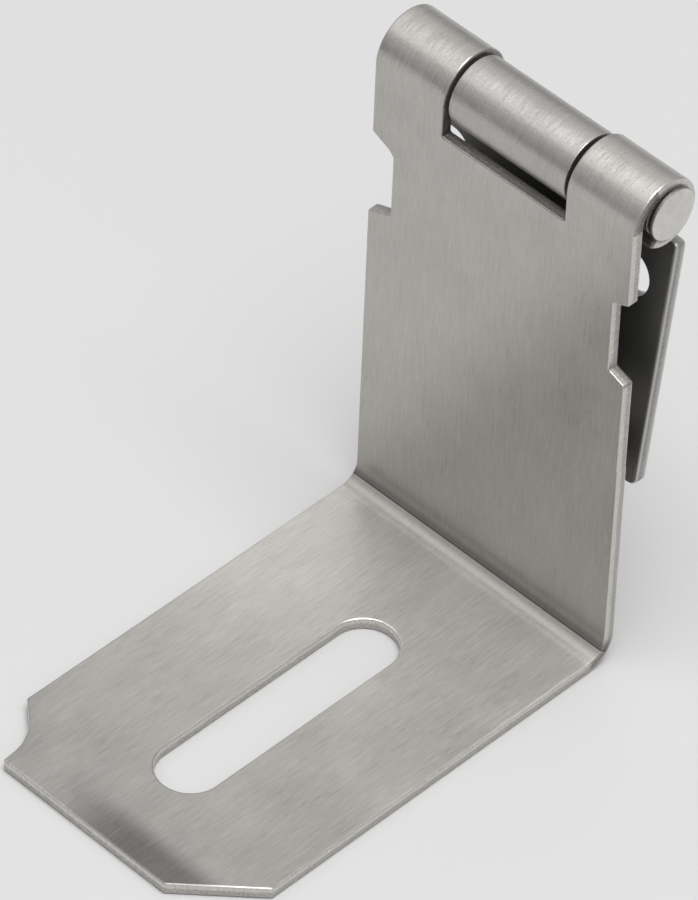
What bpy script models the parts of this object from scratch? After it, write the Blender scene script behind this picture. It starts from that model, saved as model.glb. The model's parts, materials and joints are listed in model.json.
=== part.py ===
"""Right-angle hasp pressed from stainless sheet, standing on its slotted flange.

Three pieces: the hasp arm, an L-shaped strap whose top edge is rolled into two outer knuckles;
the mounting leaf, a small plate with screw holes and one centre knuckle; and the riveted hinge
pin that joins them. Both sheet pieces are made the way a press makes them: a flat blank is
punched to its outline and holes, and is then folded in small steps.

Metres, +Z up. The origin is on the surface the flange rests on, under the middle of the part's
box. X runs along the hinge, -Y is the way the flange points.
"""
from math import cos, pi, radians, sin, tan

import bmesh
import bpy
from mathutils import Matrix, Vector

MM = 0.001

# Sheet and strap
SHEET = 1.5 * MM
WIDTH = 40.0 * MM
FLANGE_REACH = 61.3 * MM        # from the front of the upright to the flange's free end
BEND_INSIDE_RADIUS = 2.4 * MM
BEND_ANGLE = radians(90)

# Hinge
AXIS_ABOVE_FLANGE = 64.35 * MM  # pin axis above the flange's top face
KNUCKLE_RADIUS = 4.95 * MM      # outside of the arm's two knuckles
KNUCKLE_SWEEP = radians(202)    # from the upright, over the top and down the back
LIP_RADIUS = 4.1 * MM           # the rolled end closes in more tightly under the pin
LIP_SWEEP = radians(110)
CENTRE_KNUCKLE_RADIUS = 4.45 * MM
CENTRE_KNUCKLE_SWEEP = radians(300)
FOLD_STEP = radians(11.25)      # largest turn of one facet of a bend

# Arm, seen from the front: X from the strap's middle, heights above the flange's top face
KNUCKLE_LEFT_END = -19.85 * MM
KNUCKLE_RIGHT_END = 19.75 * MM
GAP_LEFT = -9.3 * MM            # cut-out between the two knuckles
GAP_RIGHT = 9.6 * MM
GAP_BOTTOM = 60.1 * MM
NOTCH_LEFT_X = -16.5 * MM       # the side notches are punched a little off the strap's middle
NOTCH_RIGHT_X = 17.5 * MM
NOTCH_LOW = 42.1 * MM           # where a notch leaves the strap's edge, lower and upper end
NOTCH_HIGH = 54.1 * MM
NOTCH_SLOPE = tan(radians(20))
NOTCH_CORNER = 0.8 * MM
SLOT_CENTRE = Vector((0.25 * MM, -32.75 * MM))
SLOT_LENGTH = 36.0 * MM
SLOT_WIDTH = 8.3 * MM
CHAMFER_ACROSS = 8.8 * MM       # the flange's right corner is cut straight
CHAMFER_ALONG = 8.2 * MM
SCALLOP_ALONG = 8.6 * MM        # its left corner is scooped out with a hollow arc
SCALLOP_RADIUS = 7.5 * MM
SCALLOP_ANGLES = (radians(55), radians(9))
SCALLOP_END = Vector((-15.0 * MM, -59.25 * MM))
FREE_END_LEFT = -14.85 * MM

# Mounting leaf, below the pin axis
LEAF_WIDTH = 39.8 * MM
LEAF_TOP = 5.25 * MM
LEAF_BOTTOM = 40.1 * MM
LEAF_TOP_CORNER = 0.7 * MM
LEAF_BOTTOM_CORNER = 1.3 * MM
TONGUE_LEFT = -8.95 * MM
TONGUE_RIGHT = 8.8 * MM
TONGUE_FILLET = 1.2 * MM
SCREW_HOLE_RADIUS = 3.0 * MM
SCREW_HOLE_X = 13.9 * MM
SCREW_HOLE_DROPS = (12.6 * MM, 32.8 * MM)
LEAF_TILT = radians(6.5)        # how far the leaf leans in towards the upright at rest

# Pin
SHAFT_RADIUS = 2.15 * MM
HEAD_RADIUS = 3.35 * MM
HEAD_OFFSET = Vector((0.7 * MM, 0.45 * MM))  # the rivet head sits off the shaft's centre, in Y and Z
HEAD_BASE_X = 20.0 * MM
HEAD_TOP_X = 20.75 * MM
HEAD_CROWN = 0.3 * MM
PEEN_RADIUS = 3.1 * MM
PEEN_BASE_X = -20.15 * MM
PEEN_TOP_X = -20.75 * MM

# Facets
CORNER_STEPS = 4
HOLE_SIDES = 40
SLOT_END_STEPS = 16
PIN_SIDES = 40

# Placing: the box of the whole part is centred on the origin
UPRIGHT_FRONT_Y = FLANGE_REACH / 2 - KNUCKLE_RADIUS
AXIS = Vector((0.0, UPRIGHT_FRONT_Y + KNUCKLE_RADIUS, SHEET + AXIS_ABOVE_FLANGE))

STAINLESS = {"colour": (0.56, 0.55, 0.53), "metallic": 1.0, "roughness": 0.38}
STAINLESS_DARKER = {"colour": (0.50, 0.49, 0.48), "metallic": 1.0, "roughness": 0.42}
PIN_STEEL = {"colour": (0.66, 0.66, 0.63), "metallic": 1.0, "roughness": 0.30}


def clear_scene():
    for old in list(bpy.data.objects):
        bpy.data.objects.remove(old, do_unlink=True)


def make_material(name, look):
    material = bpy.data.materials.new(name)
    material.use_nodes = True
    shader = material.node_tree.nodes["Principled BSDF"]
    shader.inputs["Base Color"].default_value = (*look["colour"], 1.0)
    shader.inputs["Metallic"].default_value = look["metallic"]
    shader.inputs["Roughness"].default_value = look["roughness"]
    return material


def arc(centre, radius, start, end, steps):
    """Points along an arc in the blank's plane, both ends included."""
    turns = [start + (end - start) * k / steps for k in range(steps + 1)]
    return [(centre[0] + radius * cos(a), centre[1] + radius * sin(a)) for a in turns]


def slot_outline(centre, length, width):
    """A long round-ended hole that runs along Y."""
    reach = (length - width) / 2
    low_end = arc((centre[0], centre[1] - reach), width / 2, pi, 2 * pi, SLOT_END_STEPS)
    high_end = arc((centre[0], centre[1] + reach), width / 2, 0.0, pi, SLOT_END_STEPS)
    return low_end + high_end


def hole_outline(centre, radius):
    return arc(centre, radius, 0.0, 2 * pi, HOLE_SIDES)[:-1]


def add_loop(bm, outline):
    verts = [bm.verts.new((x, y, 0.0)) for x, y in outline]
    return [bm.edges.new(pair) for pair in zip(verts, verts[1:] + verts[:1])]


def punch_blank(outline, holes):
    """A flat sheet in the XY plane, its show face at Z = 0 and its other face at -SHEET."""
    bm = bmesh.new()
    edges = add_loop(bm, outline)
    for hole in holes:
        edges += add_loop(bm, hole)
    bmesh.ops.triangle_fill(bm, use_beauty=True, use_dissolve=False, edges=edges, normal=(0.0, 0.0, 1.0))
    grown = bmesh.ops.extrude_face_region(bm, geom=bm.faces[:], use_keep_orig=True)
    lower = [item for item in grown["geom"] if isinstance(item, bmesh.types.BMVert)]
    bmesh.ops.translate(bm, verts=lower, vec=(0.0, 0.0, -SHEET))
    bmesh.ops.recalc_face_normals(bm, faces=bm.faces[:])
    return bm


def fold_steps(sweep):
    return max(1, round(sweep / FOLD_STEP))


def fold_length(radius, sweep):
    """Length of sheet, at mid-thickness, that a bend of this radius takes up."""
    steps = fold_steps(sweep)
    return 2 * steps * radius * tan(sweep / steps / 2)


def fold_stations(start, radius, sweep, towards):
    """The lines across the blank where one bend is folded, each with its turn.

    A bend towards +1 lifts the sheet beyond it, and towards -1 turns it down.
    """
    steps = fold_steps(sweep)
    turn = sweep / steps
    pitch = 2 * radius * tan(turn / 2)
    return [(start + (k + 0.5) * pitch, towards * turn) for k in range(steps)]


def fold_blank(bm, stations):
    """Cut the flat blank at every station, then fold from the far end back."""
    for y, _ in stations:
        everything = bm.verts[:] + bm.edges[:] + bm.faces[:]
        bmesh.ops.bisect_plane(bm, geom=everything, dist=1e-7, plane_co=(0.0, y, 0.0), plane_no=(0.0, 1.0, 0.0))
    flat_y = {vert: vert.co.y for vert in bm.verts}
    on_line = 1e-6
    for y, turn in sorted(stations, reverse=True):
        pivot = (0.0, y, -SHEET / 2)
        beyond = [vert for vert, place in flat_y.items() if place > y + on_line]
        crease = [vert for vert, place in flat_y.items() if abs(place - y) <= on_line]
        bmesh.ops.rotate(bm, verts=beyond, cent=pivot, matrix=Matrix.Rotation(turn, 3, "X"))
        bmesh.ops.rotate(bm, verts=crease, cent=pivot, matrix=Matrix.Rotation(turn / 2, 3, "X"))


def finish_object(name, bm, look, parent=None):
    bmesh.ops.recalc_face_normals(bm, faces=bm.faces[:])
    mesh = bpy.data.meshes.new(name)
    bm.to_mesh(mesh)
    bm.free()
    mesh.shade_smooth()
    mesh.set_sharp_from_angle(angle=radians(30))
    mesh.materials.append(make_material(name, look))
    piece = bpy.data.objects.new(name, mesh)
    piece.parent = parent
    bpy.context.scene.collection.objects.link(piece)
    return piece


def arm_bends():
    """Where each bend starts on the arm's blank, and its mid-thickness radius and sweep."""
    bend_radius = BEND_INSIDE_RADIUS + SHEET / 2
    knuckle_radius = KNUCKLE_RADIUS - SHEET / 2
    lip_radius = LIP_RADIUS - SHEET / 2
    bend_start = -BEND_INSIDE_RADIUS
    upright_start = bend_start + fold_length(bend_radius, BEND_ANGLE)
    knuckle_start = upright_start + AXIS_ABOVE_FLANGE - BEND_INSIDE_RADIUS
    lip_start = knuckle_start + fold_length(knuckle_radius, KNUCKLE_SWEEP)
    return {
        "bend": (bend_start, bend_radius, BEND_ANGLE, 1),
        "knuckle": (knuckle_start, knuckle_radius, KNUCKLE_SWEEP, -1),
        "lip": (lip_start, lip_radius, LIP_SWEEP, -1),
    }


def arm_outline(flat, strip_end):
    """Outline of the arm's blank, anticlockwise from the right corner of the flange's end.

    flat turns a height on the upright into a place along the blank.
    """
    half = WIDTH / 2
    free_end = -FLANGE_REACH
    right_rise = (half - NOTCH_RIGHT_X) * NOTCH_SLOPE
    left_rise = (half + NOTCH_LEFT_X) * NOTCH_SLOPE
    corner_turn = radians(70)
    corner_middle = (NOTCH_LEFT_X - NOTCH_CORNER, flat(NOTCH_HIGH - left_rise) - NOTCH_CORNER * tan(corner_turn / 2))
    return [
        (half - CHAMFER_ACROSS, free_end),
        (half, free_end + CHAMFER_ALONG),
        (half, flat(NOTCH_LOW)),
        (NOTCH_RIGHT_X, flat(NOTCH_LOW + right_rise)),
        (NOTCH_RIGHT_X, flat(NOTCH_HIGH - right_rise)),
        (KNUCKLE_RIGHT_END, flat(NOTCH_HIGH)),
        (KNUCKLE_RIGHT_END, strip_end),
        (GAP_RIGHT, strip_end),
        (GAP_RIGHT, flat(GAP_BOTTOM)),
        (GAP_LEFT, flat(GAP_BOTTOM)),
        (GAP_LEFT, strip_end),
        (KNUCKLE_LEFT_END, strip_end),
        (KNUCKLE_LEFT_END, flat(NOTCH_HIGH)),
        *arc(corner_middle, NOTCH_CORNER, corner_turn, 0.0, CORNER_STEPS),
        (NOTCH_LEFT_X, flat(NOTCH_LOW + left_rise)),
        (-half, flat(NOTCH_LOW)),
        (-half, free_end + SCALLOP_ALONG),
        *scallop(),
        (FREE_END_LEFT, free_end),
    ]


def scallop():
    """The hollow arc of the flange's left corner."""
    start, end = SCALLOP_ANGLES
    centre = SCALLOP_END - SCALLOP_RADIUS * Vector((cos(end), sin(end)))
    return arc(centre, SCALLOP_RADIUS, start, end, 2 * CORNER_STEPS)


def build_arm():
    bends = arm_bends()
    upright_start = bends["knuckle"][0] - AXIS_ABOVE_FLANGE
    strip_end = bends["lip"][0] + fold_length(*bends["lip"][1:3])
    outline = arm_outline(lambda height: upright_start + height, strip_end)
    bm = punch_blank(outline, [slot_outline(SLOT_CENTRE, SLOT_LENGTH, SLOT_WIDTH)])
    fold_blank(bm, [station for bend in bends.values() for station in fold_stations(*bend)])
    bmesh.ops.translate(bm, verts=bm.verts[:], vec=(0.0, UPRIGHT_FRONT_Y, SHEET))
    return finish_object("hasp_arm", bm, STAINLESS)


def leaf_outline(strip_end):
    """Outline of the leaf's blank, anticlockwise; Y = 0 is level with the pin axis."""
    half = LEAF_WIDTH / 2
    low = LEAF_BOTTOM_CORNER
    top = LEAF_TOP_CORNER
    root = TONGUE_FILLET
    return [
        *arc((-half + low, -LEAF_BOTTOM + low), low, pi, 1.5 * pi, CORNER_STEPS),
        *arc((half - low, -LEAF_BOTTOM + low), low, 1.5 * pi, 2 * pi, CORNER_STEPS),
        *arc((half - top, -LEAF_TOP - top), top, 0.0, 0.5 * pi, CORNER_STEPS),
        *arc((-TONGUE_LEFT + root, -LEAF_TOP + root), root, 1.5 * pi, pi, CORNER_STEPS),
        (-TONGUE_LEFT, strip_end),
        (-TONGUE_RIGHT, strip_end),
        *arc((-TONGUE_RIGHT - root, -LEAF_TOP + root), root, 0.0, -0.5 * pi, CORNER_STEPS),
        *arc((-half + top, -LEAF_TOP - top), top, 0.5 * pi, pi, CORNER_STEPS),
    ]


def build_leaf(hinge):
    """The mounting leaf: its blank is drawn from behind, so left and right are swapped."""
    radius = CENTRE_KNUCKLE_RADIUS - SHEET / 2
    strip_end = fold_length(radius, CENTRE_KNUCKLE_SWEEP)
    holes = [
        hole_outline((side * SCREW_HOLE_X, -drop), SCREW_HOLE_RADIUS)
        for drop in SCREW_HOLE_DROPS
        for side in (-1, 1)
    ]
    bm = punch_blank(leaf_outline(strip_end), holes)
    fold_blank(bm, fold_stations(0.0, radius, CENTRE_KNUCKLE_SWEEP, -1))
    stand_up = Matrix.Rotation(pi, 4, "Z") @ Matrix.Rotation(pi / 2, 4, "X")
    place = Matrix.Translation((0.0, CENTRE_KNUCKLE_RADIUS, 0.0)) @ stand_up
    bmesh.ops.transform(bm, matrix=place, verts=bm.verts[:])
    return finish_object("mounting_leaf", bm, STAINLESS_DARKER, parent=hinge)


def add_ring(bm, x, radius, offset):
    """A ring of edges round the pin at X = x, its centre moved by offset in Y and Z."""
    place = Matrix.Translation((x, offset[0], offset[1])) @ Matrix.Rotation(pi / 2, 4, "Y")
    made = bmesh.ops.create_circle(bm, cap_ends=False, segments=PIN_SIDES, radius=radius, matrix=place)
    return list({edge for vert in made["verts"] for edge in vert.link_edges})


def pin_rings():
    """Stations along the pin from the peened end to the head: x, radius, offset."""
    centred = Vector((0.0, 0.0))
    edge_fall = HEAD_TOP_X - HEAD_CROWN
    peen_edge = PEEN_TOP_X + HEAD_CROWN
    return [
        (PEEN_TOP_X, 0.45 * PEEN_RADIUS, centred),
        (PEEN_TOP_X + 0.25 * HEAD_CROWN, 0.8 * PEEN_RADIUS, centred),
        (peen_edge, PEEN_RADIUS, centred),
        (PEEN_BASE_X, PEEN_RADIUS, centred),
        (PEEN_BASE_X, SHAFT_RADIUS, centred),
        (HEAD_BASE_X, SHAFT_RADIUS, centred),
        (HEAD_BASE_X, HEAD_RADIUS, HEAD_OFFSET),
        (edge_fall, HEAD_RADIUS, HEAD_OFFSET),
        (HEAD_TOP_X - 0.25 * HEAD_CROWN, 0.88 * HEAD_RADIUS, HEAD_OFFSET),
        (HEAD_TOP_X, 0.5 * HEAD_RADIUS, HEAD_OFFSET),
    ]


def build_pin(hinge):
    """The riveted pin: a shaft with a low off-centre head at +X, peened over at -X."""
    bm = bmesh.new()
    rings = [add_ring(bm, *station) for station in pin_rings()]
    for near, far in zip(rings, rings[1:]):
        bmesh.ops.bridge_loops(bm, edges=near + far)
    for end in (rings[0], rings[-1]):
        bmesh.ops.edgeloop_fill(bm, edges=end)
    return finish_object("hinge_pin", bm, PIN_STEEL, parent=hinge)


def add_empty(name, place, tilt):
    empty = bpy.data.objects.new(name, None)
    empty.location = place
    empty.rotation_euler = (tilt, 0.0, 0.0)
    bpy.context.scene.collection.objects.link(empty)
    return empty


def build():
    clear_scene()
    build_arm()
    build_pin(add_empty("pin_axis", AXIS, 0.0))
    build_leaf(add_empty("leaf_axis", AXIS, -LEAF_TILT))


build()
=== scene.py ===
"""Right-angle hasp in brushed stainless sheet, with its mounting leaf and riveted hinge pin.

Both sheet pieces start as a flat blank with rolled rims and sheared walls, and are then folded in
fine steps. Every point keeps its place on the flat blank, so the brushed grain, the scratches and
the shear marks follow the metal round its bends.
"""

import json
from math import cos, pi, radians, sin, tan

import bmesh
import bpy
from mathutils import Matrix, Vector


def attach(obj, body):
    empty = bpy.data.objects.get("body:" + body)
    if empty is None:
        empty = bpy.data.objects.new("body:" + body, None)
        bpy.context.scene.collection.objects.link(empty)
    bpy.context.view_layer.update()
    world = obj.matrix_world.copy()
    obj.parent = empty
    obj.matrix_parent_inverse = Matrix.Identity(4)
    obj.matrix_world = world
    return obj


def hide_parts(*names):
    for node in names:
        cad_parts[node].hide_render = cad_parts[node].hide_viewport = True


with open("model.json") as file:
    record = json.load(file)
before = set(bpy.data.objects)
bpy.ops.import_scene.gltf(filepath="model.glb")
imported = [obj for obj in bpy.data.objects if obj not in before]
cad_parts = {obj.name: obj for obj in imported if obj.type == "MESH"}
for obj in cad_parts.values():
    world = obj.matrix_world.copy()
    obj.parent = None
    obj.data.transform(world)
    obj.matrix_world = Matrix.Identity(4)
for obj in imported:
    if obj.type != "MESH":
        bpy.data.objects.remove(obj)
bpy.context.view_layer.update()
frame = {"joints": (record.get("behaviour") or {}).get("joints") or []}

MM = 0.001

# Sheet and strap
SHEET = 1.5 * MM
WIDTH = 40.0 * MM
FLANGE_REACH = 61.3 * MM
BEND_INSIDE_RADIUS = 2.4 * MM
BEND_ANGLE = radians(90)

# Hinge
AXIS_ABOVE_FLANGE = 64.35 * MM
KNUCKLE_RADIUS = 4.95 * MM
KNUCKLE_SWEEP = radians(202)
LIP_RADIUS = 4.1 * MM
LIP_SWEEP = radians(110)
CENTRE_KNUCKLE_RADIUS = 4.45 * MM
CENTRE_KNUCKLE_SWEEP = radians(300)
FOLD_STEP = radians(4.5)
FOLD_LEAD = 0.35 * MM           # plain strip beside a bend, so that shading stays flat beyond it

# Rims: the punch rolls the show side over and leaves the other side nearly sharp
ARM_RIMS = (0.22 * MM, 0.10 * MM)    # radius on the show side and on the other side
LEAF_RIMS = (0.10 * MM, 0.38 * MM)   # the leaf's rolled side faces the upright
RIM_STEPS = 4
RIM_SUPPORT = 0.12 * MM
CORNER_RADIUS = 0.35 * MM
CORNER_SHARE = 0.4              # a rounded corner takes at most this share of each edge
CORNER_LIMIT = radians(20)      # a smaller turn than this belongs to an arc
CORNER_STEPS = 4

# Arm outline
KNUCKLE_LEFT_END = -19.85 * MM
KNUCKLE_RIGHT_END = 19.75 * MM
GAP_LEFT = -9.3 * MM
GAP_RIGHT = 9.6 * MM
GAP_BOTTOM = 60.1 * MM
NOTCH_LEFT_X = -16.5 * MM
NOTCH_RIGHT_X = 17.5 * MM
NOTCH_LOW = 42.1 * MM
NOTCH_HIGH = 54.1 * MM
NOTCH_SLOPE = tan(radians(20))
NOTCH_CORNER_IN = 0.7 * MM      # the left notch's upper corner is cut blunt: in, above and below
NOTCH_CORNER_ABOVE = 0.1 * MM
NOTCH_CORNER_BELOW = 0.6 * MM
SHEAR_STEP_HEIGHT = 29.0 * MM   # two cuts of the shear meet here with a small step
SHEAR_STEP = 0.07 * MM
SLOT_CENTRE = Vector((0.25 * MM, -32.75 * MM))
SLOT_LENGTH = 36.0 * MM
SLOT_WIDTH = 8.3 * MM
CHAMFER_ACROSS = 8.8 * MM
CHAMFER_ALONG = 8.2 * MM
SCALLOP_ALONG = 8.6 * MM
SCALLOP_RADIUS = 7.5 * MM
SCALLOP_ANGLES = (radians(55), radians(9))
SCALLOP_END = Vector((-15.0 * MM, -59.25 * MM))
FREE_END_LEFT = -14.85 * MM

# Mounting leaf
LEAF_WIDTH = 39.8 * MM
LEAF_TOP = 5.25 * MM
LEAF_BOTTOM = 40.1 * MM
LEAF_TOP_CORNER = 0.7 * MM
LEAF_BOTTOM_CORNER = 1.3 * MM
TONGUE_LEFT = -8.95 * MM
TONGUE_RIGHT = 8.8 * MM
TONGUE_FILLET = 1.2 * MM
SCREW_HOLE_RADIUS = 3.0 * MM
SCREW_HOLE_X = 13.9 * MM
SCREW_HOLE_DROPS = (12.6 * MM, 32.8 * MM)
HOLE_RIM_SHARE = 0.2            # the rims round the screw holes are this share of the leaf's rims
LEAF_TILT = radians(6.5)

# Pin
SHAFT_RADIUS = 2.15 * MM
HEAD_RADIUS = 3.35 * MM
HEAD_OFFSET = Vector((0.7 * MM, 0.45 * MM))
HEAD_BASE_X = 20.0 * MM
HEAD_TOP_X = 20.75 * MM
SKIRT_RADIUS = 2.6 * MM         # a low collar on the shaft inside the end knuckle, off the shaft's centre
SKIRT_OFFSET = Vector((0.0, 0.4 * MM))
SKIRT_BASE_X = 18.4 * MM
SKIRT_TOP_X = 19.5 * MM
SKIRT_BREAK = 0.1 * MM
NECK_RADIUS = 2.0 * MM
PEEN_RADIUS = 3.1 * MM
PEEN_BASE_X = -20.15 * MM
PEEN_TOP_X = -20.75 * MM
BUTTON_EDGE = 0.22 * MM         # rounding round the rim of both buttons
BUTTON_CROWN = 0.34 * MM        # rise of their faces towards the middle
BUTTON_BREAK = 0.05 * MM        # small bevel round their base

# Fineness of the curves
SCALLOP_STEPS = 16
SLOT_END_STEPS = 40
LEAF_BOTTOM_STEPS = 10
LEAF_TOP_STEPS = 8
HOLE_SIDES = 72
PIN_SIDES = 96
BUTTON_EDGE_STEPS = 6
BUTTON_CROWN_STEPS = 12
SHARP_ANGLE = radians(35)

# Folding
CUT_TOLERANCE = 1e-7
ON_LINE = 1e-6                  # a point this near a fold line lies on it
STRIP_MAP = 200 * MM            # length of blank that fills the UV map

# Surface patterns of the sheet: cell size across, along and through it, turn, detail, roughness
SHEET_PATTERNS = {
    "fine": ((0.13 * MM, 2.2 * MM, 1 * MM), radians(2.5), 3.0, 0.65),
    "coarse": ((0.40 * MM, 6 * MM, 1 * MM), radians(-3), 3.0, 0.6),
    "broad": ((5 * MM, 9 * MM, 9 * MM), 0.0, 3.0, 0.55),
    "cloud": ((17 * MM, 13 * MM, 9 * MM), 0.0, 2.0, 0.5),
    "speckle": ((0.20 * MM, 0.26 * MM, 0.2 * MM), 0.0, 3.0, 0.65),
    "peel": ((0.55 * MM, 0.45 * MM, 0.5 * MM), 0.0, 3.0, 0.6),
    "shear": ((0.13 * MM, 0.13 * MM, 2.4 * MM), 0.0, 2.0, 0.6),
    "tear": ((0.20 * MM, 0.20 * MM, 0.15 * MM), 0.0, 4.0, 0.7),
    "scratches": ((0.12 * MM, 4 * MM, 1 * MM), radians(24), 1.0, 0.5),
    "patch": ((9 * MM, 9 * MM, 9 * MM), 0.0, 1.0, 0.5),
}
BLADE_LINE = 0.46 * MM          # where the bending blade marked the blank
PAINTED_SHADE_BAND = (-1.6 * MM, -0.1 * MM)

# The arm's painted light and shade: from one place to another on the blank, the gain goes from low to high
PAINTED_LIGHT_BY_BEND = (-38 * MM, -8 * MM, 0.0, 0.36)
PAINTED_SHADE_TO_END = (-30 * MM, -60 * MM, 0.0, -0.20)
PAINTED_SHADE_LOW_RIGHT = (-33 * MM, -14 * MM, -0.04, -0.30)
PAINTED_SHADE_SLANT = 0.75               # the painted shade's border leans across the upright by this slope
PAINTED_SHADE_AT_END = (-62 * MM, -59 * MM)
PAINTED_SHADE_FADE = 3.5 * MM
PAINTED_SHADE_ACROSS = (-9 * MM, 2 * MM, 0.0, -0.42)

SHEET_METALLIC = 0.80
SHEET_GRAIN_PULL = 0.6          # how far the brushing stretches highlights
PIN_METALLIC = 0.90

# Colours of marks, painted highlights and painted shade
RIM_PAINTED_HIGHLIGHT = (0.80, 0.79, 0.77, 1.0)
SCRATCH_BRIGHT = (0.74, 0.73, 0.71, 1.0)
BORE_SHADE = (0.06, 0.055, 0.05, 1.0)
WALL_SHADE_AND_GRIME = (0.055, 0.045, 0.04, 1.0)
BEND_SHADE_AND_MARK = (0.09, 0.08, 0.075, 1.0)
PIN_RIM_PAINTED_HIGHLIGHT = (0.82, 0.81, 0.78, 1.0)
PIN_SHADE_AND_GRIME = (0.07, 0.055, 0.05, 1.0)

# Camera and stage
CAMERA_PLACE = Vector((434.05, -458.6, 651.15)) * MM
CAMERA_RIGHT = Vector((0.70633, 0.70722, 0.03090))
CAMERA_UP = Vector((-0.50760, 0.47558, 0.71848))
LENS = 318.3
SENSOR = 36.0
LENS_SHIFT = (0.0090, -0.0289)
FLOOR_GAP = 0.15 * MM
FLOOR_SIZE = 6.0
FLOOR_TONE = (0.60, 0.60, 0.60, 1.0)
HORIZON_TONE = (0.16, 0.16, 0.16, 1.0)
OVERHEAD_TONE = (0.58, 0.58, 0.58, 1.0)
OVERHEAD_FROM = 0.6             # height on the unit sphere where the overhead tone is reached
LIGHT_AIM = (0, 0, 0.03)
SOFTBOXES = [                   # name, place, size, power
    ("key_light", (-0.60, -0.47, 0.97), (0.5, 0.30), 0.48),
    ("back_light", (-0.75, 0.80, 1.05), (0.9, 0.9), 0.42),
    ("top_light", (0.22, -0.04, 1.20), (0.8, 0.8), 11.5),
    ("side_light", (0.95, -0.55, 0.95), (1.2, 1.2), 2.0),
]

AXIS = Vector(frame["joints"][0]["pos_m"])
UPRIGHT_FRONT_Y = AXIS.y - KNUCKLE_RADIUS


def fold_steps(sweep):
    return max(1, round(sweep / FOLD_STEP))


def fold_length(radius, sweep):
    """Length of sheet, at mid-thickness, that a bend of this radius takes up."""
    steps = fold_steps(sweep)
    return 2 * steps * radius * tan(sweep / steps / 2)


# Places along the arm's blank; Y = 0 there is level with the upright's front face
BEND_START = -BEND_INSIDE_RADIUS
BEND_END = BEND_START + fold_length(BEND_INSIDE_RADIUS + SHEET / 2, BEND_ANGLE)
UPRIGHT_START = BEND_END - BEND_INSIDE_RADIUS
KNUCKLE_START = UPRIGHT_START + AXIS_ABOVE_FLANGE
LIP_START = KNUCKLE_START + fold_length(KNUCKLE_RADIUS - SHEET / 2, KNUCKLE_SWEEP)
STRIP_END = LIP_START + fold_length(LIP_RADIUS - SHEET / 2, LIP_SWEEP)

# The leaf's blank is folded from Y = 0, level with the pin axis, to the end of its tongue
LEAF_FOLD_RADIUS = CENTRE_KNUCKLE_RADIUS - SHEET / 2
LEAF_STRIP_END = fold_length(LEAF_FOLD_RADIUS, CENTRE_KNUCKLE_SWEEP)


# Outlines

def arc(centre, radius, start, end, steps):
    turns = [start + (end - start) * k / steps for k in range(steps + 1)]
    return [Vector((centre[0] + radius * cos(a), centre[1] + radius * sin(a))) for a in turns]


def soften(outline, radius):
    """Round every real corner of an outline a little; the steps of an arc are left alone."""
    points = [Vector(point) for point in outline]
    softened = []
    for k, here in enumerate(points):
        into = here - points[k - 1]
        out = points[(k + 1) % len(points)] - here
        turn = into.angle(out)
        if turn < CORNER_LIMIT:
            softened.append(here)
            continue
        reach = min(radius * tan(turn / 2), CORNER_SHARE * into.length, CORNER_SHARE * out.length)
        start = here - into.normalized() * reach
        end = here + out.normalized() * reach
        for step in range(CORNER_STEPS + 1):
            t = step / CORNER_STEPS
            softened.append(start.lerp(here, t).lerp(here.lerp(end, t), t))
    return softened


def slot_outline(centre, length, width):
    reach = (length - width) / 2
    low_end = arc((centre[0], centre[1] - reach), width / 2, pi, 2 * pi, SLOT_END_STEPS)
    high_end = arc((centre[0], centre[1] + reach), width / 2, 0.0, pi, SLOT_END_STEPS)
    return low_end + high_end


def hole_outline(centre, radius):
    return arc(centre, radius, 0.0, 2 * pi, HOLE_SIDES)[:-1]


def scallop():
    start, end = SCALLOP_ANGLES
    centre = SCALLOP_END - SCALLOP_RADIUS * Vector((cos(end), sin(end)))
    return arc(centre, SCALLOP_RADIUS, start, end, SCALLOP_STEPS)


def arm_outline(flat, strip_end):
    """flat turns a height on the upright into a place along the blank."""
    half = WIDTH / 2
    free_end = -FLANGE_REACH
    right_rise = (half - NOTCH_RIGHT_X) * NOTCH_SLOPE
    left_rise = (half + NOTCH_LEFT_X) * NOTCH_SLOPE
    return [
        (half - CHAMFER_ACROSS, free_end),
        (half, free_end + CHAMFER_ALONG),
        (half, flat(SHEAR_STEP_HEIGHT - 4 * SHEAR_STEP)),
        (half - SHEAR_STEP, flat(SHEAR_STEP_HEIGHT)),
        (half - SHEAR_STEP, flat(NOTCH_LOW)),
        (NOTCH_RIGHT_X, flat(NOTCH_LOW + right_rise)),
        (NOTCH_RIGHT_X, flat(NOTCH_HIGH - right_rise)),
        (KNUCKLE_RIGHT_END, flat(NOTCH_HIGH)),
        (KNUCKLE_RIGHT_END, strip_end),
        (GAP_RIGHT, strip_end),
        (GAP_RIGHT, flat(GAP_BOTTOM)),
        (GAP_LEFT, flat(GAP_BOTTOM)),
        (GAP_LEFT, strip_end),
        (KNUCKLE_LEFT_END, strip_end),
        (KNUCKLE_LEFT_END, flat(NOTCH_HIGH)),
        (NOTCH_LEFT_X - NOTCH_CORNER_IN, flat(NOTCH_HIGH - left_rise) + NOTCH_CORNER_ABOVE),
        (NOTCH_LEFT_X, flat(NOTCH_HIGH - left_rise) - NOTCH_CORNER_BELOW),
        (NOTCH_LEFT_X, flat(NOTCH_LOW + left_rise)),
        (-half, flat(NOTCH_LOW)),
        (-half, free_end + SCALLOP_ALONG),
        *scallop(),
        (FREE_END_LEFT, free_end),
    ]


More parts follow.
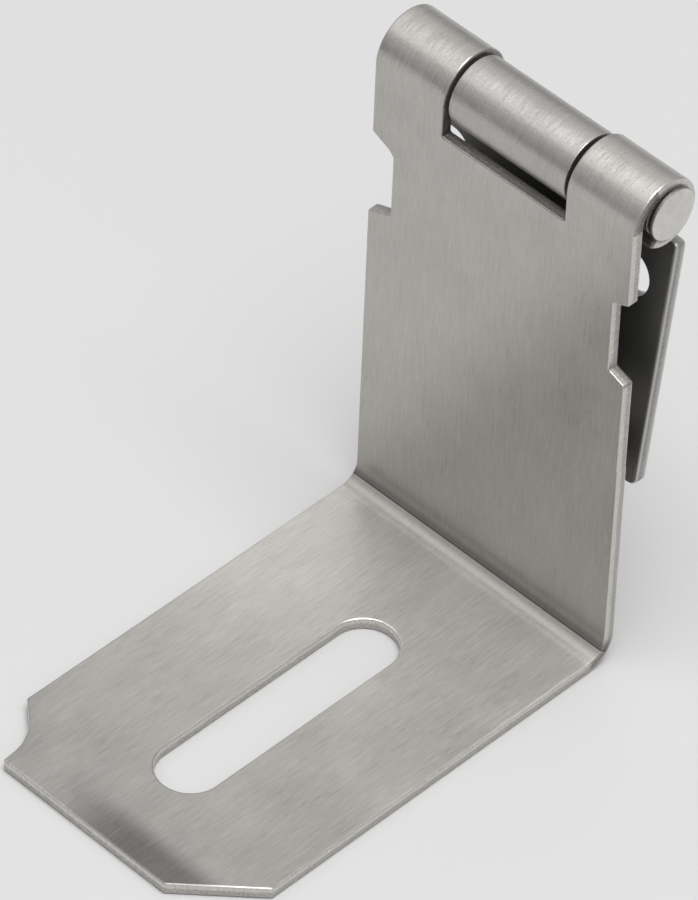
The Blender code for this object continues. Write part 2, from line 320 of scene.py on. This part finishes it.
def leaf_outline(strip_end):
    """The leaf's blank, drawn from behind; Y = 0 is level with the pin axis."""
    half = LEAF_WIDTH / 2
    low = LEAF_BOTTOM_CORNER
    top = LEAF_TOP_CORNER
    root = TONGUE_FILLET
    return [
        *arc((-half + low, -LEAF_BOTTOM + low), low, pi, 1.5 * pi, LEAF_BOTTOM_STEPS),
        *arc((half - low, -LEAF_BOTTOM + low), low, 1.5 * pi, 2 * pi, LEAF_BOTTOM_STEPS),
        *arc((half - top, -LEAF_TOP - top), top, 0.0, 0.5 * pi, LEAF_TOP_STEPS),
        *arc((-TONGUE_LEFT + root, -LEAF_TOP + root), root, 1.5 * pi, pi, LEAF_TOP_STEPS),
        (-TONGUE_LEFT, strip_end),
        (-TONGUE_RIGHT, strip_end),
        *arc((-TONGUE_RIGHT - root, -LEAF_TOP + root), root, 0.0, -0.5 * pi, LEAF_TOP_STEPS),
        *arc((-half + top, -LEAF_TOP - top), top, 0.5 * pi, pi, LEAF_TOP_STEPS),
    ]


# Punching and folding

def add_loop(bm, outline):
    verts = [bm.verts.new((x, y, 0.0)) for x, y in outline]
    return [bm.edges.new(pair) for pair in zip(verts, verts[1:] + verts[:1])]


def roll_rim(bm, faces, radius):
    """Round the border of a flat region: it shrinks inwards and rises by one quarter circle."""
    turns = [radians(90) * k / RIM_STEPS for k in range(RIM_STEPS + 1)]
    for near, far in zip(turns, turns[1:]):
        inwards = radius * (cos(near) - cos(far))
        rise = radius * (sin(far) - sin(near))
        bmesh.ops.inset_region(
            bm, faces=faces, use_boundary=True, use_even_offset=True, thickness=inwards, depth=rise)
    bmesh.ops.inset_region(
        bm, faces=faces, use_boundary=True, use_even_offset=True, thickness=RIM_SUPPORT, depth=0.0)


def punch_blank(outline, holes, rims):
    """A flat sheet in the XY plane, its show face at Z = 0 and its other face at -SHEET."""
    bm = bmesh.new()
    edges = add_loop(bm, outline)
    for hole in holes:
        edges += add_loop(bm, hole)
    bmesh.ops.triangle_fill(bm, use_beauty=True, use_dissolve=False, edges=edges, normal=(0.0, 0.0, 1.0))
    show = bm.faces[:]
    grown = bmesh.ops.extrude_face_region(bm, geom=show, use_keep_orig=True)
    back = [item for item in grown["geom"] if isinstance(item, bmesh.types.BMFace)]
    lower = [item for item in grown["geom"] if isinstance(item, bmesh.types.BMVert)]
    bmesh.ops.translate(bm, verts=lower, vec=(0.0, 0.0, sum(rims) - SHEET))
    bmesh.ops.recalc_face_normals(bm, faces=bm.faces[:])
    bmesh.ops.translate(bm, verts=bm.verts[:], vec=(0.0, 0.0, -rims[0]))
    roll_rim(bm, show, rims[0])
    roll_rim(bm, back, rims[1])
    return bm


def tighten_holes(bm, centres):
    """Draw the rolled rims round the screw holes in, which leaves them crisp."""
    reach = SCREW_HOLE_RADIUS + max(LEAF_RIMS) + 2 * RIM_SUPPORT
    for vert in bm.verts:
        for centre in centres:
            offset = vert.co.xy - centre
            if SCREW_HOLE_RADIUS < offset.length < reach:
                grown = (offset.length - SCREW_HOLE_RADIUS) * HOLE_RIM_SHARE
                vert.co.xy = centre + offset.normalized() * (SCREW_HOLE_RADIUS + grown)


def fold_stations(start, radius, sweep, towards):
    """The lines across the blank where one bend is folded, each with its turn."""
    steps = fold_steps(sweep)
    turn = sweep / steps
    pitch = 2 * radius * tan(turn / 2)
    return [(start + (k + 0.5) * pitch, towards * turn) for k in range(steps)]


def fold_blank(bm, bends):
    """Cut the flat blank at every fold line, note each point's place on it, then fold it."""
    stations = [station for bend in bends for station in fold_stations(*bend)]
    spans = [(bend[0], bend[0] + fold_length(bend[1], bend[2])) for bend in bends]
    leads = [edge for low, high in spans for edge in (low - FOLD_LEAD, high + FOLD_LEAD)]
    for y in [y for y, _ in stations] + leads:
        everything = bm.verts[:] + bm.edges[:] + bm.faces[:]
        bmesh.ops.bisect_plane(
            bm, geom=everything, dist=CUT_TOLERANCE, plane_co=(0.0, y, 0.0), plane_no=(0.0, 1.0, 0.0))
    note_blank(bm, spans)
    flat_y = {vert: vert.co.y for vert in bm.verts}
    for y, turn in sorted(stations, reverse=True):
        pivot = (0.0, y, -SHEET / 2)
        beyond = [vert for vert, place in flat_y.items() if place > y + ON_LINE]
        crease = [vert for vert, place in flat_y.items() if abs(place - y) <= ON_LINE]
        bmesh.ops.rotate(bm, verts=beyond, cent=pivot, matrix=Matrix.Rotation(turn, 3, "X"))
        bmesh.ops.rotate(bm, verts=crease, cent=pivot, matrix=Matrix.Rotation(turn / 2, 3, "X"))


def note_blank(bm, spans):
    """Keep where each point lies on the flat blank, and whether it is in a bend."""
    blank = bm.verts.layers.float_vector.new("blank")
    worked = bm.verts.layers.float.new("worked")
    strip = bm.loops.layers.uv.new("strip")
    for vert in bm.verts:
        vert[blank] = vert.co
        vert[worked] = float(any(low <= vert.co.y <= high for low, high in spans))
    for face in bm.faces:
        for loop in face.loops:
            x, y, depth = loop.vert.co
            loop[strip].uv = ((x - depth) / STRIP_MAP + 0.5, (y - depth) / STRIP_MAP + 0.5)


def finish_piece(name, bm, material, body):
    bmesh.ops.recalc_face_normals(bm, faces=bm.faces[:])
    mesh = bpy.data.meshes.new(name)
    bm.to_mesh(mesh)
    bm.free()
    mesh.shade_smooth()
    mesh.set_sharp_from_angle(angle=SHARP_ANGLE)
    mesh.materials.append(material)
    piece = bpy.data.objects.new(name, mesh)
    bpy.context.scene.collection.objects.link(piece)
    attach(piece, body)
    return piece


# Pieces

def build_arm(material):
    outline = soften(arm_outline(lambda height: UPRIGHT_START + height, STRIP_END), CORNER_RADIUS)
    bm = punch_blank(outline, [slot_outline(SLOT_CENTRE, SLOT_LENGTH, SLOT_WIDTH)], ARM_RIMS)
    fold_blank(bm, [
        (BEND_START, BEND_INSIDE_RADIUS + SHEET / 2, BEND_ANGLE, 1),
        (KNUCKLE_START, KNUCKLE_RADIUS - SHEET / 2, KNUCKLE_SWEEP, -1),
        (LIP_START, LIP_RADIUS - SHEET / 2, LIP_SWEEP, -1),
    ])
    bmesh.ops.translate(bm, verts=bm.verts[:], vec=(0.0, UPRIGHT_FRONT_Y, SHEET))
    arm = finish_piece("arm", bm, material, "arm")
    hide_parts("hasp_arm")


def build_leaf(material):
    centres = [Vector((side * SCREW_HOLE_X, -drop)) for drop in SCREW_HOLE_DROPS for side in (-1, 1)]
    holes = [hole_outline(centre, SCREW_HOLE_RADIUS) for centre in centres]
    bm = punch_blank(soften(leaf_outline(LEAF_STRIP_END), CORNER_RADIUS), holes, LEAF_RIMS)
    tighten_holes(bm, centres)
    fold_blank(bm, [(0.0, LEAF_FOLD_RADIUS, CENTRE_KNUCKLE_SWEEP, -1)])
    stand_up = Matrix.Rotation(pi, 4, "Z") @ Matrix.Rotation(pi / 2, 4, "X")
    lean = Matrix.Rotation(-LEAF_TILT, 4, "X")
    place = Matrix.Translation(AXIS) @ lean
    place = place @ Matrix.Translation((0.0, CENTRE_KNUCKLE_RADIUS, 0.0)) @ stand_up
    bmesh.ops.transform(bm, matrix=place, verts=bm.verts[:])
    leaf = finish_piece("leaf", bm, material, "leaf")
    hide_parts("mounting_leaf")


def button_rings(base_x, top_x, radius, offset):
    """Rings of a rivet button from its base to its middle: rounded rim, then a low crown."""
    out = 1 if top_x > base_x else -1
    shoulder = top_x - out * (BUTTON_EDGE + BUTTON_CROWN)
    rings = [(base_x, radius - BUTTON_BREAK, offset), (base_x + out * BUTTON_BREAK, radius, offset)]
    for k in range(BUTTON_EDGE_STEPS + 1):
        turn = radians(90) * k / BUTTON_EDGE_STEPS
        x = shoulder + out * BUTTON_EDGE * sin(turn)
        rings.append((x, radius - BUTTON_EDGE * (1 - cos(turn)), offset))
    face = radius - BUTTON_EDGE
    for k in range(1, BUTTON_CROWN_STEPS):
        share = 1 - k / BUTTON_CROWN_STEPS
        rise = BUTTON_EDGE + BUTTON_CROWN * (1 - share ** 2)
        rings.append((shoulder + out * rise, face * share, offset))
    return rings


def build_pin(material):
    centred = Vector((0.0, 0.0))
    peen = button_rings(PEEN_BASE_X, PEEN_TOP_X, PEEN_RADIUS, centred)
    head = button_rings(HEAD_BASE_X, HEAD_TOP_X, HEAD_RADIUS, HEAD_OFFSET)
    shaft = [
        (PEEN_BASE_X, SHAFT_RADIUS, centred),
        (SKIRT_BASE_X, SHAFT_RADIUS, centred),
        (SKIRT_BASE_X, SKIRT_RADIUS, SKIRT_OFFSET),
        (SKIRT_TOP_X - SKIRT_BREAK, SKIRT_RADIUS, SKIRT_OFFSET),
        (SKIRT_TOP_X, SKIRT_RADIUS - SKIRT_BREAK, SKIRT_OFFSET),
        (SKIRT_TOP_X, NECK_RADIUS, centred),
        (HEAD_BASE_X, NECK_RADIUS, centred),
    ]
    bm = bmesh.new()
    loops = []
    for x, radius, offset in peen[::-1] + shaft + head:
        middle = (x, AXIS.y + offset[0], AXIS.z + offset[1])
        place = Matrix.Translation(middle) @ Matrix.Rotation(pi / 2, 4, "Y")
        made = bmesh.ops.create_circle(bm, cap_ends=False, segments=PIN_SIDES, radius=radius, matrix=place)
        loops.append(list(dict.fromkeys(edge for vert in made["verts"] for edge in vert.link_edges)))
    for near, far in zip(loops, loops[1:]):
        bmesh.ops.bridge_loops(bm, edges=near + far)
    for end in (loops[0], loops[-1]):
        bmesh.ops.edgeloop_fill(bm, edges=end)
    pin = finish_piece("pin", bm, material, "arm")
    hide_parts("hinge_pin")


# Materials

class Shader:
    """A short way to write a node material."""

    def __init__(self, name):
        self.material = bpy.data.materials.new(name)
        self.material.use_nodes = True
        self.tree = self.material.node_tree
        self.surface = self.tree.nodes["Principled BSDF"]

    def node(self, kind, inputs=None, **settings):
        made = self.tree.nodes.new(kind)
        for key, value in settings.items():
            setattr(made, key, value)
        for key, value in (inputs or {}).items():
            self.feed(made.inputs[key], value)
        return made

    def feed(self, socket, value):
        if isinstance(value, bpy.types.NodeSocket):
            self.tree.links.new(value, socket)
        else:
            socket.default_value = value

    def attribute(self, name, output):
        return self.node("ShaderNodeAttribute", attribute_name=name).outputs[output]

    def math(self, operation, a, b=0.5, clamp=False):
        return self.node("ShaderNodeMath", {0: a, 1: b}, operation=operation, use_clamp=clamp).outputs[0]

    def mix_numbers(self, a, share_a, b, share_b):
        return self.math("ADD", self.math("MULTIPLY", a, share_a), self.math("MULTIPLY", b, share_b))

    def stretch(self, vector, cells, turn=0.0):
        """A pattern space where one unit is one cell of the given size."""
        scale = tuple(1.0 / size for size in cells)
        return self.node(
            "ShaderNodeMapping", {"Vector": vector, "Rotation": (0.0, 0.0, turn), "Scale": scale}).outputs[0]

    def noise(self, vector, detail=2.0, roughness=0.5):
        inputs = {"Vector": vector, "Scale": 1.0, "Detail": detail, "Roughness": roughness}
        return self.node("ShaderNodeTexNoise", inputs).outputs["Fac"]

    def span(self, value, low, high, to_low=0.0, to_high=1.0, smooth=False):
        inputs = {"Value": value, "From Min": low, "From Max": high, "To Min": to_low, "To Max": to_high}
        kind = "SMOOTHSTEP" if smooth else "LINEAR"
        return self.node("ShaderNodeMapRange", inputs, interpolation_type=kind).outputs[0]

    def blend(self, share, a, b):
        """Colour a where share is 0 and b where it is 1."""
        made = self.node("ShaderNodeMix", data_type="RGBA")
        self.feed(made.inputs["Factor"], share)
        self.feed(made.inputs[6], a)
        self.feed(made.inputs[7], b)
        return made.outputs[2]

    def window(self, value, low, high, soft=0.3 * MM):
        """1 between low and high, fading to 0 over a soft width outside them."""
        rise = self.span(value, low - soft, low, smooth=True)
        fall = self.span(value, high + soft, high, smooth=True)
        return self.math("MULTIPLY", rise, fall)

    def scale(self, colour, gain):
        made = self.node("ShaderNodeVectorMath", {0: colour}, operation="SCALE")
        self.feed(made.inputs["Scale"], gain)
        return made.outputs[0]

    def tint(self, value, dark, bright):
        """A colour between dark and bright by a number from 0 to 1."""
        return self.blend(value, (*dark, 1.0), (*bright, 1.0))

    def bump(self, height, distance, strength=1.0, normal=None):
        inputs = {"Height": height, "Distance": distance, "Strength": strength}
        if normal is not None:
            inputs["Normal"] = normal
        return self.node("ShaderNodeBump", inputs).outputs[0]


def painted_light_gain(s, across, along):
    """Painted light and shade on the arm: brighter on the flange beside the bend, darker at its end and low
    on the upright.
    """
    near = s.span(along, *PAINTED_LIGHT_BY_BEND, smooth=True)
    far = s.span(along, *PAINTED_SHADE_TO_END, smooth=True)
    above = s.span(along, 0.0, 3 * MM, smooth=True)
    # painted shade low on the right of the upright, behind a slanted border
    slant = s.math("SUBTRACT", across, s.math("MULTIPLY", along, PAINTED_SHADE_SLANT))
    shade_low_right = s.span(slant, *PAINTED_SHADE_LOW_RIGHT, smooth=True)
    # painted shade in a band across the free end of the flange
    shade_at_end = s.math(
        "MULTIPLY", s.window(along, *PAINTED_SHADE_AT_END, PAINTED_SHADE_FADE), s.span(across, *PAINTED_SHADE_ACROSS, smooth=True))
    flange = s.math("MULTIPLY", s.math("ADD", near, far), s.math("SUBTRACT", 1.0, above))
    gain = s.math("ADD", flange, s.math("MULTIPLY", above, shade_low_right))
    return s.math("ADD", s.math("ADD", gain, shade_at_end), 1.0)


def steel_sheet(name, look, rolled_rim, creased, wall_shade_and_grime):
    """Brushed stainless sheet with a punched edge, laid out on the flat blank.

    look holds the tones; creased is for the sheet with the right-angle bend; the last argument lists places
    on the sheared wall, in blank coordinates, that painted shade with some brown grime darkens.
    """
    s = Shader(name)
    place = s.attribute("blank", "Vector")
    worked = s.attribute("worked", "Fac")
    axes = s.node("ShaderNodeSeparateXYZ", {0: place}).outputs
    across, along, depth = axes["X"], axes["Y"], axes["Z"]
    dark, bright, roughness = look["dark"], look["bright"], look["roughness"]

    pattern = {
        key: s.noise(s.stretch(place, cells, turn), detail, ruggedness)
        for key, (cells, turn, detail, ruggedness) in SHEET_PATTERNS.items()
    }
    speckle, shear, tear = pattern["speckle"], pattern["shear"], pattern["tear"]

    # Wall: 0 on the faces of the sheet, 1 on the sheared wall between them
    from_middle = s.math("ABSOLUTE", s.math("ADD", depth, SHEET / 2))
    wall = s.span(from_middle, SHEET / 2, SHEET / 2 - rolled_rim, smooth=True)
    rim = s.math("MULTIPLY", wall, s.math("SUBTRACT", 4.0, s.math("MULTIPLY", wall, 4.0)), clamp=True)
    wander = s.math("MULTIPLY", s.math("SUBTRACT", pattern["coarse"], 0.5), 0.4 * MM)
    ragged = s.math("ADD", depth, wander)
    torn = s.math("MULTIPLY", s.span(ragged, -0.62 * MM, -0.74 * MM, smooth=True), wall)
    hidden = s.span(depth, -0.55 * SHEET, -0.95 * SHEET, smooth=True)

    # Fine scratches that cross the grain at a low angle, here and there
    scratch = s.math(
        "MULTIPLY", s.span(pattern["scratches"], 0.68, 0.76), s.span(pattern["patch"], 0.48, 0.60))

    # Brushed grain: two sets of short strokes that cross at a small angle, over broad mottling
    grain = s.mix_numbers(pattern["fine"], 0.6, pattern["coarse"], 0.4)
    mottle = s.mix_numbers(pattern["broad"], 0.5, pattern["cloud"], 0.5)
    tone = s.math("ADD", s.span(grain, 0.0, 1.0, -0.62, 0.62), s.span(mottle, 0.0, 1.0, 0.15, 0.85))
    speckled = s.math("MULTIPLY", s.math("SUBTRACT", speckle, 0.5), s.span(worked, 0.0, 1.0, 0.22, 0.70))
    tone = s.math("ADD", tone, speckled)
    face = s.tint(s.span(tone, 0.22, 0.78), dark, bright)
    if creased:
        # painted light and shade: the face is scaled brighter beside the bend and darker at the flange's end
        # and low on the upright
        face = s.scale(face, painted_light_gain(s, across, along))
    # painted shade: the back face is drawn darker, most of all on the leaf, whose back faces the upright
    face = s.blend(hidden, face, [c * look["shaded_back"] for c in bright] + [1.0])
    # painted shade: inside the knuckles the back face goes nearly black
    bore = s.math("MULTIPLY", hidden, s.span(along, look["bore_start"], look["bore_start"] + 1.5 * MM))
    face = s.blend(s.math("MULTIPLY", bore, 0.75), face, BORE_SHADE)
    wall_bright = [c * look["wall"] for c in bright]
    sheared = s.tint(s.span(shear, 0.3, 0.7), [c * look["wall"] for c in dark], wall_bright)
    broken = s.tint(s.span(tear, 0.3, 0.7), [c * 0.55 for c in dark], wall_bright)
    colour = s.blend(wall, face, sheared)
    colour = s.blend(torn, colour, broken)
    # painted highlight along the rolled rims
    colour = s.blend(s.math("MULTIPLY", rim, 0.45), colour, RIM_PAINTED_HIGHLIGHT)
    colour = s.blend(s.math("MULTIPLY", scratch, 0.35), colour, SCRATCH_BRIGHT)
    # painted shade with some grime on the sheared wall at the listed places, which also covers the rim's
    # painted highlight there
    for x_range, y_range, strength in wall_shade_and_grime:
        spot = s.math("MULTIPLY", s.window(across, *x_range), s.window(along, *y_range))
        spot = s.math("MULTIPLY", spot, s.math("MAXIMUM", wall, rim))
        shade_and_grime = s.math("MULTIPLY", spot, s.span(tear, 0.25, 0.65, strength, 0.6 * strength))
        colour = s.blend(shade_and_grime, colour, WALL_SHADE_AND_GRIME)

    rough = s.math("ADD", s.span(grain, 0.3, 0.7, roughness - 0.08, roughness + 0.09),
                   s.span(mottle, 0.3, 0.7, -0.06, 0.06))
    rough = s.math("ADD", rough, s.math("MULTIPLY", torn, 0.22))
    rough = s.math("SUBTRACT", rough, s.math("MULTIPLY", rim, 0.10))
    rough = s.math("SUBTRACT", rough, s.math("MULTIPLY", scratch, 0.08))
    if creased:
        # Inside the bend: painted shade in the hollow, the thin line left by the bending blade, and a band
        # of painted shade over the fillet that is also made rougher
        show = s.math("SUBTRACT", 1.0, hidden)
        fade = s.span(along, 2.7 * MM, 0.8 * MM, 0.0, 0.74, smooth=True)
        hollow_shade = s.math("MULTIPLY", fade, s.span(along, 0.30 * MM, BLADE_LINE))
        from_line = s.math("ABSOLUTE", s.math("SUBTRACT", along, BLADE_LINE))
        line = s.span(from_line, 0.24 * MM, 0.10 * MM, 0.0, 0.92)
        shaded_band = s.window(along, *PAINTED_SHADE_BAND, 0.9 * MM)
        bend_shade_and_mark = s.math("MAXIMUM", s.math("MAXIMUM", hollow_shade, line), s.math("MULTIPLY", shaded_band, 0.46))
        # painted shade over the hollow and the band, together with the blade's real line
        colour = s.blend(s.math("MULTIPLY", bend_shade_and_mark, show), colour, BEND_SHADE_AND_MARK)
        bend = s.span(s.math("ABSOLUTE", along), 4 * MM, 2 * MM, smooth=True)
        rough = s.math("ADD", rough, s.mix_numbers(bend, 0.12, shaded_band, 0.12))

    hills = s.mix_numbers(grain, 0.7, speckle, 0.3)
    normal = s.bump(hills, 0.008 * MM)
    normal = s.bump(s.math("MULTIPLY", pattern["peel"], worked), 0.026 * MM, 1.0, normal)
    edge_marks = s.math("ADD", s.math("MULTIPLY", shear, wall), s.math("MULTIPLY", tear, torn))
    normal = s.bump(edge_marks, 0.03 * MM, 1.0, normal)

    s.feed(s.surface.inputs["Base Color"], colour)
    s.feed(s.surface.inputs["Roughness"], rough)
    s.feed(s.surface.inputs["Metallic"], SHEET_METALLIC)
    s.feed(s.surface.inputs["Anisotropic"], s.span(wall, 0.0, 1.0, SHEET_GRAIN_PULL, 0.0))
    s.feed(s.surface.inputs["Tangent"],
           s.node("ShaderNodeTangent", direction_type="UV_MAP", uv_map="strip").outputs[0])
    s.feed(s.surface.inputs["Normal"], normal)
    return s.material


def rivet_steel(name, dark, bright, roughness):
    """The pin: headed cold, with a smooth face, a rough patch on its rim and dark sides of painted shade
    with some grime.
    """
    s = Shader(name)
    place = s.node("ShaderNodeTexCoord").outputs["Object"]
    centred = s.node(
        "ShaderNodeMapping",
        {"Vector": place, "Location": (0.0, -AXIS.y - HEAD_OFFSET[0], -AXIS.z - HEAD_OFFSET[1])}).outputs[0]
    axes = s.node("ShaderNodeSeparateXYZ", {0: centred}).outputs
    across = s.node(
        "ShaderNodeVectorMath", {0: centred, 1: (0.0, 1.0, 1.0)}, operation="MULTIPLY").outputs[0]
    radius = s.node("ShaderNodeVectorMath", {0: across}, operation="LENGTH").outputs["Value"]
    rings = s.math("SINE", s.math("MULTIPLY", radius, 2 * pi / (0.30 * MM)))
    mottle = s.noise(s.stretch(place, (1.3 * MM, 1.3 * MM, 1.3 * MM)), 3.0, 0.55)
    speckle = s.noise(s.stretch(place, (0.16 * MM, 0.16 * MM, 0.16 * MM)), 3.0, 0.65)
    rim = s.window(radius, HEAD_RADIUS - 0.40 * MM, HEAD_RADIUS - 0.16 * MM, 0.12 * MM)
    side = s.span(radius, HEAD_RADIUS - 0.10 * MM, HEAD_RADIUS - 0.02 * MM, smooth=True)
    inside = s.span(s.math("ABSOLUTE", axes["X"]), HEAD_BASE_X + 0.05 * MM, HEAD_BASE_X - 0.05 * MM)
    struck = s.math("MULTIPLY", s.span(axes["Z"], 0.35 * HEAD_RADIUS, 0.70 * HEAD_RADIUS, smooth=True),
                    s.span(radius, 0.60 * HEAD_RADIUS, 0.85 * HEAD_RADIUS, smooth=True))
    tone = s.mix_numbers(mottle, 0.7, speckle, 0.3)
    rugged = s.math("MULTIPLY", s.math("SUBTRACT", speckle, 0.5), struck)
    colour = s.tint(s.span(s.math("ADD", tone, rugged), 0.28, 0.72), dark, bright)
    # a faint painted highlight round the rim of the head
    colour = s.blend(s.math("MULTIPLY", rim, 0.10), colour, PIN_RIM_PAINTED_HIGHLIGHT)
    # painted shade with some grime on the head's side wall and on the shaft inside the knuckle
    shade_and_grime = s.math("MULTIPLY", s.math("MAXIMUM", side, inside), s.span(speckle, 0.3, 0.7, 0.9, 0.6))
    colour = s.blend(shade_and_grime, colour, PIN_SHADE_AND_GRIME)
    rough = s.span(tone, 0.3, 0.7, roughness - 0.05, roughness + 0.08)
    rough = s.math("ADD", rough, s.mix_numbers(rim, -0.04, shade_and_grime, 0.25))
    hills = s.mix_numbers(rings, 0.02, mottle, 0.7)
    hills = s.math("ADD", hills, s.math("MULTIPLY", speckle, s.span(struck, 0.0, 1.0, 0.06, 1.2)))
    s.feed(s.surface.inputs["Base Color"], colour)
    s.feed(s.surface.inputs["Metallic"], PIN_METALLIC)
    s.feed(s.surface.inputs["Roughness"], rough)
    s.feed(s.surface.inputs["Normal"], s.bump(hills, 0.010 * MM, 1.0))
    return s.material


# Stage

def build_floor():
    bm = bmesh.new()
    place = Matrix.Translation((0.0, 0.0, -FLOOR_GAP))
    bmesh.ops.create_grid(bm, x_segments=1, y_segments=1, size=FLOOR_SIZE / 2, matrix=place)
    mesh = bpy.data.meshes.new("floor")
    bm.to_mesh(mesh)
    bm.free()
    paper = Shader("floor")
    paper.feed(paper.surface.inputs["Base Color"], FLOOR_TONE)
    paper.feed(paper.surface.inputs["Roughness"], 0.9)
    paper.feed(paper.surface.inputs["Specular IOR Level"], 0.1)
    mesh.materials.append(paper.material)
    floor = bpy.data.objects.new("floor", mesh)
    bpy.context.scene.collection.objects.link(floor)


def add_softbox(name, place, size, power):
    light = bpy.data.lights.new(name, "AREA")
    light.shape = "RECTANGLE"
    light.size, light.size_y = size
    light.energy = power
    lamp = bpy.data.objects.new(name, light)
    lamp.location = place
    lamp.rotation_euler = (Vector(place) - Vector(LIGHT_AIM)).to_track_quat("Z", "Y").to_euler()
    bpy.context.scene.collection.objects.link(lamp)


def light_world():
    """A pale tent: dim at the horizon, brighter overhead."""
    world = bpy.data.worlds.new("tent")
    world.use_nodes = True
    tree = world.node_tree
    coords = tree.nodes.new("ShaderNodeTexCoord")
    split = tree.nodes.new("ShaderNodeSeparateXYZ")
    ramp = tree.nodes.new("ShaderNodeValToRGB")
    tree.links.new(coords.outputs["Generated"], split.inputs[0])
    tree.links.new(split.outputs["Z"], ramp.inputs[0])
    tree.links.new(ramp.outputs[0], tree.nodes["Background"].inputs["Color"])
    ramp.color_ramp.elements[0].color = HORIZON_TONE
    ramp.color_ramp.elements[1].color = OVERHEAD_TONE
    ramp.color_ramp.elements[1].position = OVERHEAD_FROM
    bpy.context.scene.world = world


def place_camera():
    back = CAMERA_RIGHT.cross(CAMERA_UP)
    turn = Matrix((CAMERA_RIGHT, CAMERA_UP, back)).transposed().to_4x4()
    lens = bpy.data.cameras.new("camera")
    lens.sensor_fit = "VERTICAL"
    lens.sensor_height = SENSOR
    lens.lens = LENS
    lens.shift_x, lens.shift_y = LENS_SHIFT
    lens.clip_start = 0.01
    camera = bpy.data.objects.new("camera", lens)
    camera.matrix_world = Matrix.Translation(CAMERA_PLACE) @ turn
    bpy.context.scene.collection.objects.link(camera)
    bpy.context.scene.camera = camera


# Tones of the sheet: the wall share and the back-face share scale them, the back-face share being painted
# shade; bore_start is where a knuckle begins
ARM_LOOK = {"dark": (0.43, 0.415, 0.39), "bright": (0.62, 0.60, 0.57), "roughness": 0.34,
            "wall": 1.15, "shaded_back": 0.8, "bore_start": KNUCKLE_START}
LEAF_LOOK = {"dark": (0.40, 0.39, 0.37), "bright": (0.56, 0.55, 0.53), "roughness": 0.36,
             "wall": 0.85, "shaded_back": 0.30, "bore_start": 0.0}
CUT_OUT_FLOOR = UPRIGHT_START + GAP_BOTTOM
NOTCH_FLOOR = UPRIGHT_START + NOTCH_LOW
TONGUE_EDGE = (-LEAF_TOP, LEAF_STRIP_END)
# Painted shade with some grime on the sheared walls: range across the blank, range along it, strength
LEAF_WALL_SHADE_AND_GRIME = [
    ((-TONGUE_RIGHT - 0.1 * MM, -TONGUE_RIGHT + 0.1 * MM), TONGUE_EDGE, 0.9),
    ((-TONGUE_LEFT - 0.1 * MM, -TONGUE_LEFT + 0.1 * MM), TONGUE_EDGE, 0.9),
]
ARM_WALL_SHADE_AND_GRIME = [
    ((GAP_LEFT, GAP_RIGHT), (CUT_OUT_FLOOR - 0.1 * MM, CUT_OUT_FLOOR + 0.3 * MM), 0.75),
    ((GAP_LEFT - 0.1 * MM, GAP_LEFT + 0.1 * MM), (CUT_OUT_FLOOR, STRIP_END), 0.95),
    ((NOTCH_RIGHT_X, WIDTH / 2), (NOTCH_FLOOR - 0.3 * MM, NOTCH_FLOOR + 1.0 * MM), 0.45),
    ((KNUCKLE_RIGHT_END - 0.2 * MM, WIDTH / 2), (KNUCKLE_START + 0.3 * MM, KNUCKLE_START + 5.2 * MM), 0.8),
    ((-WIDTH / 2, WIDTH / 2), (STRIP_END - 0.2 * MM, STRIP_END + 0.3 * MM), 0.95),
]

build_arm(steel_sheet("arm_steel", ARM_LOOK, ARM_RIMS[0], True, ARM_WALL_SHADE_AND_GRIME))
build_leaf(steel_sheet("leaf_steel", LEAF_LOOK, LEAF_RIMS[1], False, LEAF_WALL_SHADE_AND_GRIME))
build_pin(rivet_steel("pin_steel", (0.57, 0.56, 0.535), (0.74, 0.73, 0.70), 0.36))
build_floor()
light_world()
for softbox in SOFTBOXES:
    add_softbox(*softbox)
place_camera()
bpy.context.scene.view_settings.view_transform = "Standard"
